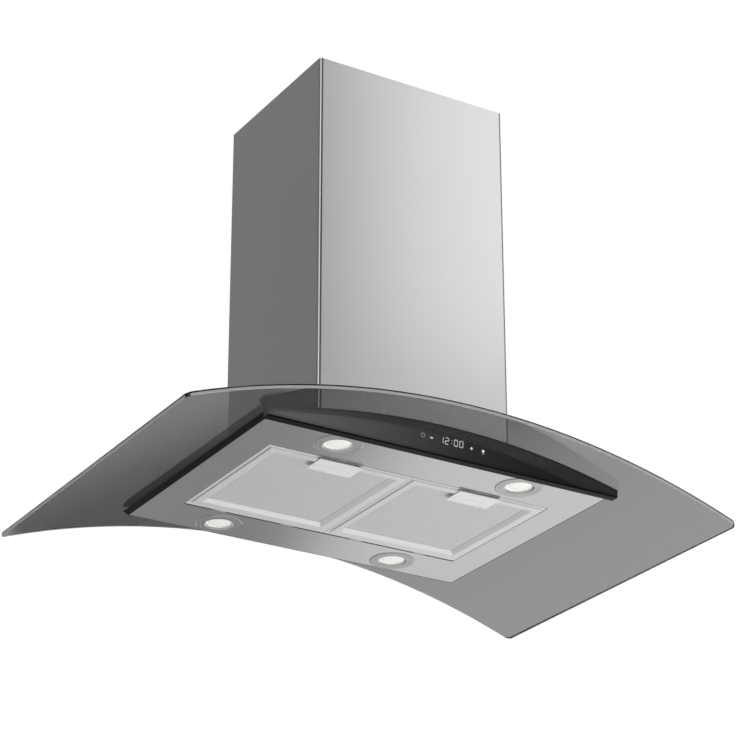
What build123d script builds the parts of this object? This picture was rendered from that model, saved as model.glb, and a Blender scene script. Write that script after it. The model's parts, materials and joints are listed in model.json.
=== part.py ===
from build123d import *
import os
from math import cos, degrees, radians, sin, sqrt

# Ceiling-hung range hood with a bent glass canopy, in millimetres.
# The origin is on the ceiling, at the middle of the ceiling plate's top face.
# +Z is up, the control panel faces -Y and +X is to the right of a person facing it.

# Canopy: bent glass, pan and bottom plate
hood_drop = 645.0
glass_width = 900.0
glass_depth = 595.0
glass_thickness = 6.0
glass_radius = 1260.0
glass_corner = 10.0
glass_edge = 0.8
glass_cut_gap = 4.0
glass_cut_corner = 6.0
gasket_thickness = 2.0
gasket_width = 12.0
gasket_inset = 3.0
body_width = 580.0
body_depth = 424.0
body_sheet = 1.2
pan_side_height = 6.1
pan_flare = 6.0
plate_sheet = 1.0
plate_rim = 5.0
opening_width = 468.0
opening_depth = 260.0
opening_rim = 8.0

# Chimney covers, round the blower chamber, and the height travel
cover_side_room = 18.0
cover_end_room = 17.5
cover_sheet = 1.0
cover_bend = 5.5
cover_flange = 14.0
cover_slide_gap = 2.0
ceiling_gap = 1.0
upper_cover_length = 480.0
travel = 300.0
vent_count = 7
vent_length = 72.0
vent_width = 5.0
vent_pitch = 11.0
vent_top = 38.0

# Ceiling plate
tray_sheet = 2.0
tray_rim = 22.0
duct_opening_width = 240.0
duct_opening_depth = 196.0
duct_opening_corner = 20.0
ceiling_hole_radius = 3.5
ceiling_spacing_x = 180.0
ceiling_spacing_y = 230.0

# Telescopic uprights and their clamp screws
upright_sheet = 1.5
upright_leg = 25.0
upright_slide_gap = 0.3
upper_upright_length = 450.0
lower_upright_top = 40.0
lower_upright_foot = 6.0
clamp_screw_radius = 2.5
clamp_screw_drop = 15.0
clamp_screw_inset = 13.0
clamp_head_radius = 5.0
clamp_head_height = 3.0
clamp_nut_radius = 4.5
clamp_nut_height = 4.0
slot_clearance = 0.3
slot_margin = 6.0

# Glass clamp frame
clamp_sheet = 1.5
clamp_flange = 16.0

# Blower chamber
box_width = 290.0
box_depth = 238.0
box_height = 325.0
box_sheet = 1.2

# Blower
fan_radius = 80.0
fan_half_width = 50.0
fan_drop = 150.0
blade_count = 32
blade_depth = 14.0
blade_thickness = 1.2
blade_sweep = 11.0
fan_ring = 3.0
fan_disc = 2.0
fan_boss_radius = 12.0
fan_boss_length = 18.0
scroll_wall = 2.5
scroll_side_gap = 6.0
scroll_growth = 8.0
scroll_cutoff_gap = 4.0
scroll_shoulder = 40.0
outlet_half_depth = 62.0
inlet_radius = 66.0
shaft_radius = 4.0
shaft_clearance = 0.05
motor_radius = 42.0
motor_gap = 9.0
motor_nose = 4.0
motor_nose_radius = 16.0
motor_bell_radius = 37.0
motor_bore_floor = 4.0
shaft_end_gap = 0.3

# Inlet grilles, with the bayonet that the carbon filters twist onto
grille_thickness = 3.0
grille_ring = 10.0
spoke_count = 5
spoke_width = 5.0
hub_radius = 22.0
lug_count = 3
lug_height = 4.0
lug_width = 10.0
lug_thickness = 4.0

# Carbon filters
carbon_radius = 95.0
carbon_thickness = 34.0
carbon_dish = 3.0
carbon_groove = 3.0
carbon_rim = 8.0
carbon_edge = 2.0
carbon_plate = 6.5
carbon_gap = 0.5
bayonet_clearance = 0.4
bayonet_turn = 30.0

# Outlet collar and back-draught flaps
collar_radius = 75.0
collar_wall = 2.5
collar_height = 60.0
collar_flange = 12.0
collar_flange_sheet = 2.5
flap_level = 18.0
flap_sheet = 1.5
flap_rim_gap = 0.7
flap_ledge = 4.0
flap_ledge_sheet = 2.0
flap_seat_gap = 0.3
flap_pin_radius = 1.5
flap_pin_clearance = 0.05
knuckle_radius = 3.2
knuckle_length = 15.0
knuckle_pitch = 30.0
flap_inner_edge = 6.0
pin_boss_width = 7.0
pin_boss_depth = 6.0
pin_boss_height = 8.0
pin_end_gap = 1.0

# Front control panel
panel_base_depth = 13.0
panel_lean = 7.3
panel_below = 4.5
panel_top_gap = 1.0
panel_wall = 2.0
panel_cavity = 9.0
bezel = 3.0
fascia_thickness = 2.0
fascia_gap = 0.15
lip_height = 2.5
lip_chamfer = 1.0
display_width = 44.0
display_height = 16.0
display_thickness = 3.5
display_level = 21.5
board_width = 150.0
board_height = 20.0
board_thickness = 1.6

# Lamps
lamp_pitch_x = 303.0
lamp_pitch_y = 350.0
lamp_flange_radius = 35.0
lamp_flange_lip = 1.2
lamp_flange_edge = 1.0
lamp_body_radius = 27.5
lamp_body_height = 18.0
lamp_hole_gap = 0.5
lamp_wall = 2.5
lens_view_radius = 20.2
lens_recess = 2.0
lens_ledge = 1.2
lens_thickness = 2.5
lens_gap = 0.2
lamp_top = 2.0
cone_mouth_radius = 22.5
ring_radius = 28.5
ring_width = 1.0
ring_depth = 0.4

# Grease filters and their latches
filter_side_gap = 0.75
filter_end_gap = 2.5
filter_recess = 0.5
filter_height = 10.0
filter_bar = 14.0
filter_sheet = 1.0
filter_flange = 5.5
filter_rear_flange = 12.5
bead_width = 10.5
bead_drop = 2.5
bead_edge = 0.8
dish_slope = 7.0
dish_rise = 5.0
mesh_gap = 0.3
mesh_layer = 0.6
mesh_fold = 12.0
tab_width = 20.0
tab_length = 8.0
tab_inset = 60.0
handle_width = 70.0
handle_depth = 40.0
handle_sheet = 1.2
handle_corner = 4.0
grip_count = 2
grip_radius = 1.0
grip_inset = 2.0
grip_pitch = 16.0
grip_margin = 5.0
latch_gap = 0.3
latch_travel = 8.0
latch_notch_gap = 1.0
neck_width = 16.0
neck_depth = 4.0
tongue_width = 24.0
tongue_thickness = 1.5

# Electrical pieces on the blower chamber
control_box_depth = 160.0
control_box_height = 36.0
control_box_corner = 4.0
capacitor_radius = 16.0
capacitor_length = 52.0
capacitor_edge = 2.0
gland_radius = 10.0
gland_height = 22.0
gland_neck_radius = 8.5
gland_bore = 4.0
gland_hole_gap = 1.0
service_margin = 10.0
service_gap = 2.0
service_pitch = 110.0

# Cover and foot screws
cover_screw_radius = 1.5
cover_screw_length = 5.0
cover_head_radius = 4.0
cover_head_height = 0.6
foot_screw_radius = 2.0
foot_head_radius = 4.0
foot_head_height = 2.4

# Shared clearances
seat_gap = 0.1
overcut = 1.0

# Levels and places that follow from the sizes above
z_plate = -hood_drop
r_glass_top = glass_radius + glass_thickness
r_pan_top = glass_radius - gasket_thickness
arc_z = z_plate + pan_side_height - sqrt(r_pan_top**2 - (body_width / 2) ** 2)
glass_rise = arc_z + glass_radius - z_plate
cover_width = box_width + 2 * cover_side_room
cover_depth = box_depth + 2 * cover_end_room
panel_width = body_width
collar_reach = collar_radius + collar_flange + service_gap
control_box_width = box_width / 2 - service_margin - collar_reach
service_offset = collar_reach + control_box_width / 2
r_clamp = r_glass_top + seat_gap
z_box_top = z_plate + box_height
fan_z = z_box_top - box_sheet - fan_drop
plate_width = body_width - 2 * (body_sheet + seat_gap + pan_flare)
plate_depth = body_depth - 2 * (body_sheet + seat_gap)
lower_corner_x = box_width / 2 + upright_sheet
lower_corner_y = box_depth / 2 + upright_sheet
upper_corner_x = lower_corner_x + upright_slide_gap + upright_sheet
upper_corner_y = lower_corner_y + upright_slide_gap + upright_sheet
clamp_screw_z = -lower_upright_top - clamp_screw_drop
inner_width = cover_width - 2 * (cover_sheet + cover_slide_gap)
inner_depth = cover_depth - 2 * (cover_sheet + cover_slide_gap)
scroll_half = fan_half_width + scroll_side_gap + scroll_wall
grille_x = scroll_half + grille_thickness
fan_plane = Plane(origin=(0, 0, fan_z), x_dir=(0, 1, 0), z_dir=(1, 0, 0))
sides = {"left": -1, "right": 1}
corners = {"front_left": (-1, -1), "front_right": (1, -1), "rear_left": (-1, 1), "rear_right": (1, 1)}

os.makedirs("parts", exist_ok=True)


def save(piece, name):
    """Label a finished piece and write it as its own STEP file."""
    piece.part.label = name
    export_step(piece.part, f"parts/{name}.step")


def arch(x, radius):
    """Height at x of the arc of this radius about the glass's own centre line."""
    return arc_z + sqrt(radius**2 - x**2)


def arch_band(width, r_low, r_high):
    """Section between two arcs about the glass's centre line, cut off square at the width."""
    half = width / 2
    with BuildSketch(Plane.XZ) as band:
        with BuildLine():
            ThreePointArc((-half, arch(half, r_low)), (0, arch(0, r_low)), (half, arch(half, r_low)))
            Line((half, arch(half, r_low)), (half, arch(half, r_high)))
            ThreePointArc((half, arch(half, r_high)), (0, arch(0, r_high)), (-half, arch(half, r_high)))
            Line((-half, arch(half, r_high)), (-half, arch(half, r_low)))
        make_face()
    return band.sketch


def arch_block(width, z_flat, radius, plane=Plane.XZ):
    """Section between a level line and an arc about the glass's centre line."""
    half = width / 2
    with BuildSketch(plane) as block:
        with BuildLine():
            Polyline((-half, arch(half, radius)), (-half, z_flat), (half, z_flat), (half, arch(half, radius)))
            ThreePointArc((half, arch(half, radius)), (0, arch(0, radius)), (-half, arch(half, radius)))
        make_face()
    return block.sketch


# Glass canopy: one bent sheet with ground edges and a hidden cut-out for the blower chamber
with BuildPart() as glass_canopy:
    extrude(arch_band(glass_width + overcut, glass_radius, r_glass_top), amount=glass_depth, both=True)
    with BuildSketch(Plane.XY.offset(arch(glass_width / 2 + overcut, glass_radius))):
        RectangleRounded(glass_width, glass_depth, glass_corner)
    extrude(amount=glass_radius, mode=Mode.INTERSECT)
    skins = glass_canopy.faces().filter_by(GeomType.CYLINDER).sort_by(SortBy.AREA)[-2:]
    chamfer(skins.edges(), glass_edge)
    with BuildSketch(Plane.XY.offset(z_plate)):
        RectangleRounded(box_width + 2 * glass_cut_gap, box_depth + 2 * glass_cut_gap, glass_cut_corner)
    extrude(amount=glass_rise + glass_thickness + overcut, mode=Mode.SUBTRACT)
save(glass_canopy, "glass_canopy")

# Gasket: a rubber strip round the pan's top, under the glass
with BuildPart() as glass_gasket:
    gasket_outer = body_width - 2 * gasket_inset
    gasket_reach = body_depth / 2 - gasket_inset
    gasket_band = arch_band(gasket_outer, r_pan_top + seat_gap, glass_radius - seat_gap)
    extrude(gasket_band, amount=gasket_reach, both=True)
    with BuildSketch(Plane.XY.offset(z_plate)):
        Rectangle(gasket_outer - 2 * gasket_width, 2 * (gasket_reach - gasket_width))
    extrude(amount=glass_rise, mode=Mode.SUBTRACT)
save(glass_gasket, "glass_gasket")

# Canopy pan: pressed steel, open below, with its top skin bent to the glass
def pan_block(wall):
    """The pan's form inside a wall, from the panel back to the rear, flared upwards on three sides."""
    outline = arch_block(body_width - 2 * wall, z_plate, r_pan_top - wall, panel_back.offset(-wall))
    foot_x = body_width / 2 - wall - pan_flare
    foot_y = body_depth / 2 - wall
    with BuildPart() as block:
        extrude(outline, amount=2 * wall - body_depth - pan_flare)
        for x, y, slope in ((foot_x, 0, (1, 0, -1)), (-foot_x, 0, (-1, 0, -1)), (0, foot_y, (0, 1, -1))):
            split(bisect_by=Plane(origin=(x, y, z_plate), z_dir=slope), keep=Keep.BOTTOM)
    return block.part


panel_back = Plane.XZ.offset(body_depth / 2)
pan_outside = pan_block(0)
pan_inside = pan_block(body_sheet)
with BuildPart() as canopy_pan:
    add(pan_outside)
    add(pan_inside, mode=Mode.SUBTRACT)
    with BuildSketch(Plane.XY.offset(z_plate)):
        Rectangle(box_width - 2 * box_sheet, box_depth - 2 * box_sheet)
    extrude(amount=glass_rise, mode=Mode.SUBTRACT)
save(canopy_pan, "canopy_pan")

# Bottom plate: stainless sheet inside the pan's walls, with the filter opening and the lamp holes
with BuildPart() as bottom_plate:
    with BuildSketch(Plane.XY.offset(z_plate)):
        Rectangle(plate_width, plate_depth)
        Rectangle(opening_width, opening_depth, mode=Mode.SUBTRACT)
        with GridLocations(lamp_pitch_x, lamp_pitch_y, 2, 2):
            Circle(lamp_body_radius + lamp_hole_gap, mode=Mode.SUBTRACT)
    extrude(amount=plate_sheet)
    with BuildSketch(Plane.XY.offset(z_plate)):
        Rectangle(plate_width, plate_depth)
        Rectangle(plate_width - 2 * plate_sheet, plate_depth - 2 * plate_sheet, mode=Mode.SUBTRACT)
    extrude(amount=plate_rim)
    with BuildSketch(Plane.XY.offset(z_plate)):
        with GridLocations(opening_width + plate_sheet, 0, 2, 1):
            Rectangle(plate_sheet, opening_depth)
    extrude(amount=opening_rim)
save(bottom_plate, "bottom_plate")

# Blower chamber: a folded box that stands on the pan, open below, with the outlet hole in its top
with BuildPart() as motor_box:
    extrude(arch_block(box_width, z_box_top, r_pan_top + seat_gap), amount=box_depth / 2, both=True)
    box_inside = arch_block(box_width - 2 * box_sheet, z_box_top - box_sheet, r_pan_top - overcut)
    extrude(box_inside, amount=box_depth / 2 - box_sheet, both=True, mode=Mode.SUBTRACT)
    with BuildSketch(Plane.XY.offset(z_box_top)):
        Circle(collar_radius - collar_wall)
        with Locations((-service_offset, service_pitch / 2)):
            Circle(gland_bore + gland_hole_gap)
    extrude(amount=-box_sheet, mode=Mode.SUBTRACT)
save(motor_box, "motor_box")

# Cover screws sit on the sides, where the rear panel's flanges lie inside the channel
def screw_sides(width, depth, z):
    """Planes on both side walls of a cover, centred on its screws and facing out."""
    y = depth / 2 - cover_flange / 2
    return [Plane(origin=(s * width / 2, y, z), x_dir=(0, 1, 0), z_dir=(s, 0, 0)) for s in sides.values()]


def drill(planes):
    """Cut the screw holes of a cover into the part that is being built."""
    for face in planes:
        with BuildSketch(face) as hole:
            Circle(cover_screw_radius + seat_gap)
        extrude(hole.sketch, amount=-cover_screw_length, mode=Mode.SUBTRACT)


# Clamp frame: a tray with a curved floor that holds the glass down round the blower chamber
clamp_width = cover_width - 4 * cover_sheet - 2 * seat_gap
clamp_depth = cover_depth - 2 * cover_sheet - 2 * seat_gap
clamp_top = arch(0, r_clamp) + clamp_flange
cover_screw_planes = {
    "upper": screw_sides(inner_width, inner_depth, -tray_rim / 2),
    "lower": screw_sides(cover_width, cover_depth, clamp_top - clamp_flange / 2),
}
with BuildPart() as clamp_inside:
    clamp_hollow = arch_block(cover_width, clamp_top + overcut, r_clamp + clamp_sheet)
    extrude(clamp_hollow, amount=cover_depth / 2, both=True)
    with BuildSketch(Plane.XY.offset(z_plate)):
        fold = cover_bend - clamp_sheet
        RectangleRounded(clamp_width - 2 * clamp_sheet, clamp_depth - 2 * clamp_sheet, fold)
    extrude(amount=hood_drop, mode=Mode.INTERSECT)

with BuildPart() as glass_clamp:
    extrude(arch_block(cover_width, clamp_top, r_clamp), amount=cover_depth / 2, both=True)
    with BuildSketch(Plane.XY.offset(z_plate)):
        RectangleRounded(clamp_width, clamp_depth, cover_bend)
    extrude(amount=hood_drop, mode=Mode.INTERSECT)
    add(clamp_inside.part, mode=Mode.SUBTRACT)
    with BuildSketch(Plane.XY.offset(z_plate)):
        Rectangle(box_width + 2 * seat_gap, box_depth + 2 * seat_gap)
    extrude(amount=glass_rise + glass_thickness + clamp_flange, mode=Mode.SUBTRACT)
    drill(cover_screw_planes["lower"])
save(glass_clamp, "glass_clamp")


# Chimney covers: a folded front channel and a rear panel that slips between its sides
def channel(width, depth, z_top):
    """Plan of a front wall with two side walls, bent at the front corners and open at the rear."""
    with BuildSketch(Plane.XY.offset(z_top)) as section:
        Rectangle(width, depth)
        fillet(section.vertices().sort_by(Axis.Y)[:2], cover_bend)
        with Locations((0, cover_sheet + cover_bend)):
            inside_width = width - 2 * cover_sheet
            inside_bend = cover_bend - cover_sheet
            RectangleRounded(inside_width, depth + 2 * cover_bend, inside_bend, mode=Mode.SUBTRACT)
    return section.sketch


def rear_panel(width, depth, z_top):
    """Plan of a flat panel with a forward flange along each side."""
    panel_span = width - 2 * cover_sheet - 2 * seat_gap
    with BuildSketch(Plane.XY.offset(z_top)) as section:
        with Locations((0, depth / 2 - cover_sheet / 2)):
            Rectangle(panel_span, cover_sheet)
        with Locations((0, depth / 2 - cover_flange / 2)):
            with GridLocations(panel_span - cover_sheet, 0, 2, 1):
                Rectangle(cover_sheet, cover_flange)
    return section.sketch


lower_length = -ceiling_gap - arch(cover_width / 2, r_glass_top)
glass_top_block = arch_block(cover_width + 2 * overcut, z_plate, r_glass_top + seat_gap)
vent_z = -vent_top - vent_pitch * (vent_count - 1) / 2

with BuildPart() as lower_cover_front:
    extrude(channel(cover_width, cover_depth, -ceiling_gap), amount=-lower_length)
    extrude(glass_top_block, amount=cover_depth, both=True, mode=Mode.SUBTRACT)
    drill(cover_screw_planes["lower"])
save(lower_cover_front, "lower_cover_front")

with BuildPart() as lower_cover_rear:
    extrude(rear_panel(cover_width, cover_depth, -ceiling_gap), amount=-lower_length)
    extrude(glass_top_block, amount=cover_depth, both=True, mode=Mode.SUBTRACT)
    drill(cover_screw_planes["lower"])
save(lower_cover_rear, "lower_cover_rear")

with BuildPart() as upper_cover_front:
    extrude(channel(inner_width, inner_depth, -ceiling_gap), amount=-upper_cover_length)
    with BuildSketch(Plane.YZ):
        with Locations((0, vent_z)):
            with GridLocations(0, vent_pitch, 1, vent_count):
                Rectangle(vent_length, vent_width)
    extrude(amount=cover_width, both=True, mode=Mode.SUBTRACT)
    drill(cover_screw_planes["upper"])
save(upper_cover_front, "upper_cover_front")

with BuildPart() as upper_cover_rear:
    extrude(rear_panel(inner_width, inner_depth, -ceiling_gap), amount=-upper_cover_length)
    drill(cover_screw_planes["upper"])
save(upper_cover_rear, "upper_cover_rear")

# Ceiling plate: a shallow tray that the upper cover slips over, with the duct opening
tray_width = inner_width - 4 * cover_sheet - 2 * seat_gap
tray_depth = inner_depth - 2 * cover_sheet - 2 * seat_gap
foot_x = upper_corner_x - upright_leg / 2
foot_y = upper_corner_y - upright_leg / 2
with BuildPart() as ceiling_plate:
    with BuildSketch():
        RectangleRounded(tray_width, tray_depth, cover_bend)
    extrude(amount=-tray_rim)
    with BuildSketch(Plane.XY.offset(-tray_sheet)):
        RectangleRounded(tray_width - 2 * tray_sheet, tray_depth - 2 * tray_sheet, cover_bend - tray_sheet)
    extrude(amount=-tray_rim, mode=Mode.SUBTRACT)
    with BuildSketch():
        RectangleRounded(duct_opening_width, duct_opening_depth, duct_opening_corner)
        with GridLocations(ceiling_spacing_x, ceiling_spacing_y, 2, 2):
            Circle(ceiling_hole_radius)
        with GridLocations(2 * foot_x, 2 * foot_y, 2, 2):
            Circle(foot_screw_radius)
    extrude(amount=-tray_sheet, mode=Mode.SUBTRACT)
    drill(cover_screw_planes["upper"])
save(ceiling_plate, "ceiling_plate")


# Uprights: nested steel angles that the clamp screws lock at the chosen height
def angle_plan(side, corner_x, corner_y, z_top):
    """Plan of an angle with its outer corner at the given place."""
    with BuildSketch(Plane.XY.offset(z_top)) as plan:
        with Locations((side[0] * (corner_x - upright_leg / 2), side[1] * (corner_y - upright_leg / 2))):
            Rectangle(upright_leg, upright_leg)
        shift = upright_leg / 2 + upright_sheet
        with Locations((side[0] * (corner_x - shift), side[1] * (corner_y - shift))):
            Rectangle(upright_leg, upright_leg, mode=Mode.SUBTRACT)
    return plan.sketch


def screw_planes(side, corner_x, corner_y):
    """Planes on both outer faces of an angle, centred on its clamp screws and facing out."""
    on_x = Plane(
        origin=(side[0] * corner_x, side[1] * (upper_corner_y - clamp_screw_inset), clamp_screw_z),
        x_dir=(0, 0, 1),
        z_dir=(side[0], 0, 0),
    )
    on_y = Plane(
        origin=(side[0] * (upper_corner_x - clamp_screw_inset), side[1] * corner_y, clamp_screw_z),
        x_dir=(0, 0, 1),
        z_dir=(0, side[1], 0),
    )
    return [on_x, on_y]


slot_width = 2 * (clamp_screw_radius + slot_clearance)
slot_length = travel + slot_width + 2 * slot_margin
lower_upright_end = clamp_top + lower_upright_foot
for corner, side in corners.items():
    with BuildPart() as upper_upright:
        extrude(angle_plan(side, upper_corner_x, upper_corner_y, -tray_sheet), amount=-upper_upright_length)
        with BuildSketch(Plane.XY.offset(-tray_sheet)):
            with Locations((side[0] * foot_x, side[1] * foot_y)):
                Rectangle(upright_leg, upright_leg)
                Circle(foot_screw_radius, mode=Mode.SUBTRACT)
        extrude(amount=-upright_sheet)
        for face in screw_planes(side, upper_corner_x, upper_corner_y):
            with BuildSketch(face):
                with Locations((-travel / 2, 0)):
                    SlotOverall(slot_length, slot_width)
            extrude(amount=-upright_sheet, mode=Mode.SUBTRACT)
    save(upper_upright, f"upper_upright_{corner}")

    with BuildPart() as lower_upright:
        lower_upright_length = -lower_upright_top - lower_upright_end
        plan = angle_plan(side, lower_corner_x, lower_corner_y, -lower_upright_top)
        extrude(plan, amount=-lower_upright_length)
        for face in screw_planes(side, lower_corner_x, lower_corner_y):
            with BuildSketch(face):
                Circle(clamp_screw_radius + seat_gap)
            extrude(amount=-upright_sheet, mode=Mode.SUBTRACT)
    save(lower_upright, f"lower_upright_{corner}")

with BuildPart() as clamp_screws:
    grip = 2 * upright_sheet + 2 * upright_slide_gap
    for side in corners.values():
        for face in screw_planes(side, upper_corner_x, upper_corner_y):
            head_seat = face.offset(upright_slide_gap)
            with BuildSketch(head_seat):
                Circle(clamp_head_radius)
            extrude(amount=clamp_head_height)
            with BuildSketch(head_seat):
                Circle(clamp_screw_radius)
            extrude(amount=-grip - clamp_nut_height)
            with BuildSketch(head_seat.offset(-grip)):
                RegularPolygon(clamp_nut_radius, 6)
            extrude(amount=-clamp_nut_height)
save(clamp_screws, "clamp_screws")

with BuildPart() as foot_screws:
    foot_seat = Plane.XY.offset(-tray_sheet - upright_sheet)
    with BuildSketch(foot_seat):
        with GridLocations(2 * foot_x, 2 * foot_y, 2, 2):
            Circle(foot_head_radius)
    extrude(amount=-foot_head_height)
    with BuildSketch(foot_seat):
        with GridLocations(2 * foot_x, 2 * foot_y, 2, 2):
            Circle(foot_screw_radius - seat_gap / 2)
    extrude(amount=upright_sheet + tray_sheet / 2)
save(foot_screws, "foot_screws")

# Blower: a scroll in two moulded halves round a double-inlet wheel with forward-curved blades.
# The scroll grows by the same step at each quarter turn and opens upwards into the outlet.
scroll_radius = fan_radius + scroll_cutoff_gap + scroll_growth / 2
scroll_shift = scroll_growth / 2
scroll_right = scroll_shift + scroll_radius + 2 * scroll_growth

with BuildSketch(fan_plane) as scroll_outline:
    with BuildLine():
        CenterArc((-scroll_shift, -scroll_shift), scroll_radius, 90, 90)
        CenterArc((scroll_shift, -scroll_shift), scroll_radius + scroll_growth, 180, 90)
        CenterArc((scroll_shift, scroll_shift), scroll_radius + 2 * scroll_growth, 270, 90)
        Polyline(
            (scroll_right, scroll_shift),
            (scroll_right, scroll_shoulder),
            (outlet_half_depth, fan_drop),
            (-outlet_half_depth, fan_drop),
            (-scroll_shift, scroll_radius - scroll_shift),
        )
    make_face()

with BuildSketch(fan_plane) as scroll_inside:
    add(scroll_outline.sketch_local)
    offset(amount=-scroll_wall)

for name, side in sides.items():
    with BuildPart() as scroll:
        extrude(scroll_outline.sketch, amount=side * scroll_half)
        extrude(scroll_inside.sketch, amount=side * (scroll_half - scroll_wall), mode=Mode.SUBTRACT)
        with BuildSketch(fan_plane):
            with Locations((0, fan_drop)):
                Rectangle(2 * (outlet_half_depth - 2 * scroll_wall), 4 * scroll_wall)
        extrude(amount=side * (scroll_half - scroll_wall), mode=Mode.SUBTRACT)
        with BuildSketch(fan_plane.offset(side * scroll_half)):
            Circle(inlet_radius)
        extrude(amount=-side * scroll_wall, mode=Mode.SUBTRACT)
    save(scroll, f"scroll_{name}")


def polar(radius, angle):
    """Point at this radius and angle in degrees."""
    return (radius * cos(radians(angle)), radius * sin(radians(angle)))


blade_root = fan_radius - blade_depth
blade_tip = fan_radius - blade_thickness
blade_middle = (blade_root + blade_tip) / 2
blade_turn = degrees(blade_thickness / fan_radius)
with BuildSketch(fan_plane) as blade:
    with BuildLine():
        bow = blade_sweep / 3
        ThreePointArc(polar(blade_root, 0), polar(blade_middle, bow), polar(blade_tip, blade_sweep))
        Line(polar(blade_tip, blade_sweep), polar(blade_tip, blade_sweep + blade_turn))
        ThreePointArc(
            polar(blade_tip, blade_sweep + blade_turn),
            polar(blade_middle, bow + blade_turn),
            polar(blade_root, blade_turn),
        )
        Line(polar(blade_root, blade_turn), polar(blade_root, 0))
    make_face()

with BuildPart() as fan_wheel:
    with BuildSketch(fan_plane.offset(-fan_half_width)):
        with PolarLocations(0, blade_count):
            add(blade.sketch_local)
    extrude(amount=2 * fan_half_width)
    for side in sides.values():
        with BuildSketch(fan_plane.offset(side * fan_half_width)):
            Circle(fan_radius)
            Circle(blade_root - blade_thickness, mode=Mode.SUBTRACT)
        extrude(amount=-side * fan_ring)
    with BuildSketch(fan_plane.offset(-fan_disc / 2)):
        Circle(fan_radius)
    extrude(amount=fan_disc)
    with BuildSketch(fan_plane):
        Circle(fan_boss_radius)
    extrude(amount=-fan_boss_length)
    with BuildSketch(fan_plane):
        Circle(shaft_radius + shaft_clearance)
    extrude(amount=fan_half_width, both=True, mode=Mode.SUBTRACT)
save(fan_wheel, "fan_wheel")

# Motor: hung on the right inlet grille, inside the wheel, with the wheel's shaft in its bore
shaft_plane = Plane(origin=(0, 0, fan_z), x_dir=(1, 0, 0), z_dir=(0, -1, 0))
fan_axis = Axis((0, 0, fan_z), (1, 0, 0))
motor_end = scroll_half
with BuildPart() as motor:
    with BuildSketch(shaft_plane):
        with BuildLine():
            Polyline(
                (motor_gap, 0),
                (motor_gap, motor_nose_radius),
                (motor_gap + motor_nose, motor_nose_radius),
                (motor_gap + motor_nose, motor_bell_radius),
                (motor_gap + 2 * motor_nose, motor_radius),
                (motor_end - 2 * motor_nose, motor_radius),
                (motor_end - motor_nose, motor_bell_radius),
                (motor_end, motor_nose_radius),
                (motor_end, 0),
                close=True,
            )
        make_face()
    revolve(axis=fan_axis)
    with BuildSketch(fan_plane.offset(motor_gap)):
        Circle(shaft_radius + shaft_clearance)
    extrude(amount=motor_end - motor_gap - motor_bore_floor, mode=Mode.SUBTRACT)
save(motor, "motor")

with BuildPart() as fan_shaft:
    with BuildSketch(fan_plane.offset(-fan_boss_length)):
        Circle(shaft_radius)
    extrude(amount=fan_boss_length + motor_end - motor_bore_floor - shaft_end_gap)
save(fan_shaft, "fan_shaft")

# Inlet grilles and the carbon filters that twist onto their hubs
lug_seat = 2 * carbon_gap + carbon_plate
carbon_x = grille_x + carbon_gap
carbon_bore = hub_radius + bayonet_clearance
carbon_well = hub_radius + lug_height + 3 * bayonet_clearance
for name, side in sides.items():
    with BuildPart() as inlet_grille:
        with BuildSketch(fan_plane.offset(side * scroll_half)):
            Circle(inlet_radius + grille_ring)
            Circle(inlet_radius, mode=Mode.SUBTRACT)
            with PolarLocations((inlet_radius + hub_radius) / 2, spoke_count):
                Rectangle(inlet_radius - hub_radius + grille_ring, spoke_width)
        extrude(amount=side * grille_thickness)
        with BuildSketch(fan_plane.offset(side * scroll_half)):
            Circle(hub_radius)
        extrude(amount=side * (grille_thickness + lug_seat + lug_thickness))
        with BuildSketch(fan_plane.offset(side * (grille_x + lug_seat))):
            with PolarLocations(hub_radius, lug_count):
                Rectangle(2 * lug_height, lug_width)
        extrude(amount=side * lug_thickness)
    save(inlet_grille, f"inlet_grille_{name}")

    with BuildPart() as carbon_filter:
        with BuildSketch(shaft_plane):
            with BuildLine():
                outline = [
                    (0, carbon_bore),
                    (0, carbon_radius - carbon_edge),
                    (carbon_edge, carbon_radius),
                    (carbon_rim, carbon_radius),
                    (carbon_rim + carbon_edge, carbon_radius - carbon_groove),
                    (carbon_thickness / 2, carbon_radius - carbon_groove),
                    (carbon_thickness / 2 + carbon_edge, carbon_radius),
                    (carbon_thickness - carbon_edge, carbon_radius),
                    (carbon_thickness, carbon_radius - carbon_edge),
                    (carbon_thickness, carbon_radius - carbon_rim),
                    (carbon_thickness - carbon_dish, carbon_well + carbon_rim),
                    (carbon_thickness - carbon_dish, carbon_well),
                    (carbon_plate, carbon_well),
                    (carbon_plate, carbon_bore),
                ]
                Polyline([(side * (carbon_x + x), r) for x, r in outline], close=True)
            make_face()
        revolve(axis=fan_axis)
        with BuildSketch(fan_plane.offset(side * carbon_x)):
            with PolarLocations(hub_radius, lug_count, start_angle=bayonet_turn):
                Rectangle(2 * (lug_height + bayonet_clearance), lug_width + 2 * bayonet_clearance)
        extrude(amount=side * carbon_plate, mode=Mode.SUBTRACT)
    save(carbon_filter, f"carbon_filter_{name}")

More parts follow.
